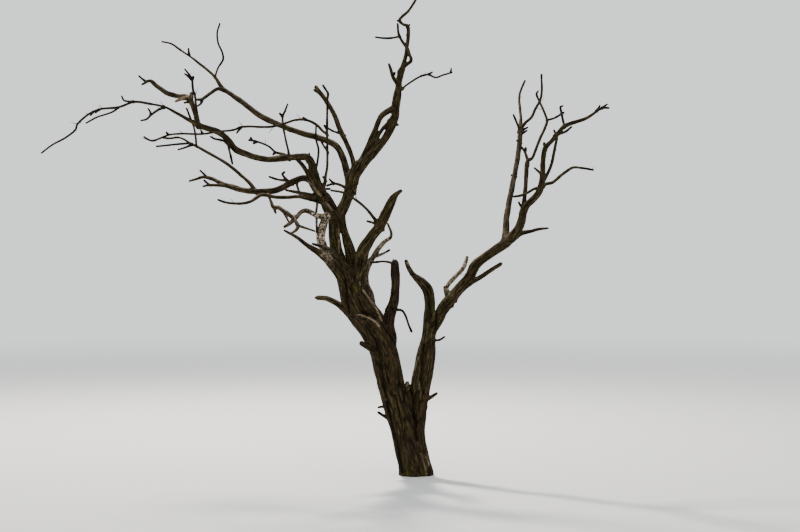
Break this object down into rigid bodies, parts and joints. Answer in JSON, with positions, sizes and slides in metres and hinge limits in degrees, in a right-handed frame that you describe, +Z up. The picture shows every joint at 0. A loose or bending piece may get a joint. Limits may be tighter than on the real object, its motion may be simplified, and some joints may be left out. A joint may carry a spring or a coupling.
{
  "type": "dead tree",
  "caption": "Dead, leafless tree with two stems fused in a leaning trunk, broken boughs and a sparse crown of bare twigs, cut flat at the ground.",
  "frame": {"origin": "middle of the flat cut under the trunk, at ground level", "axes": "+Z up, -Y towards the viewer of the reference picture, +X to the right in that view"},
  "size_m": [4.0767, 2.8449, 4.0272],
  "materials": {
    "trunk_bark": "rough furrowed grey-brown bark, weathered",
    "algae_bark": "weathered bark and bare wood with an olive tint of algae",
    "red_bark": "rough dark red-brown bark",
    "lichen_bark": "dead wood crusted with pale lichen",
    "twigs": "thin dark weathered twigs",
    "lichen_twigs": "thin twigs crusted with pale lichen"
  },
  "bodies": {
    "root": {"trunk": "trunk_bark", "stem_left": "trunk_bark", "stem_right": "trunk_bark", "bough_right_broken": "trunk_bark", "bough_stub": "red_bark", "bough_stem_left": "algae_bark", "bough_centre": "algae_bark", "bough_back": "algae_bark", "leader": "algae_bark", "leader_top": "algae_bark", "bough_broken_high": "algae_bark", "bough_back_rise": "algae_bark", "bough_back_reach": "algae_bark", "bough_front_rise": "algae_bark", "bough_front_reach": "algae_bark", "bough_front_end": "algae_bark", "bough_front_upright": "algae_bark", "bough_rod": "algae_bark", "bough_low": "algae_bark", "bough_low_rise": "algae_bark", "bough_hanging": "algae_bark", "bough_lichen": "lichen_bark", "bough_right": "algae_bark", "bough_right_front": "algae_bark", "bough_right_front_end": "algae_bark", "bough_right_stub": "algae_bark", "bough_right_back": "algae_bark", "bough_right_mid": "algae_bark", "twigs_top": "twigs", "twigs_leader_right": "twigs", "twigs_leader_left": "twigs", "twigs_back_tip": "twigs", "twigs_back_side": "twigs", "twigs_front_tip": "twigs", "twigs_front_upright": "twigs", "twigs_front_rod": "twigs", "twigs_front_fork": "twigs", "twigs_front_mid": "twigs", "twigs_front_hanging": "twigs", "twigs_level": "twigs", "twigs_low_tip": "twigs", "twigs_low_curl": "twigs", "twigs_low_rise": "twigs", "twigs_low_front": "twigs", "twigs_hanging": "twigs", "twigs_lichen_tip": "lichen_twigs", "twigs_crotch": "twigs", "twigs_centre": "twigs", "twigs_stub_left": "twigs", "twigs_stub_right": "twigs", "twigs_right_front": "twigs", "twigs_right_pale": "lichen_twigs", "twigs_right_back": "twigs", "twigs_right_back_side": "twigs", "twigs_right_mid": "twigs", "twigs_right_cross": "twigs", "twigs_right_inner": "twigs", "twigs_right_low": "twigs"}
  },
  "joints": []
}
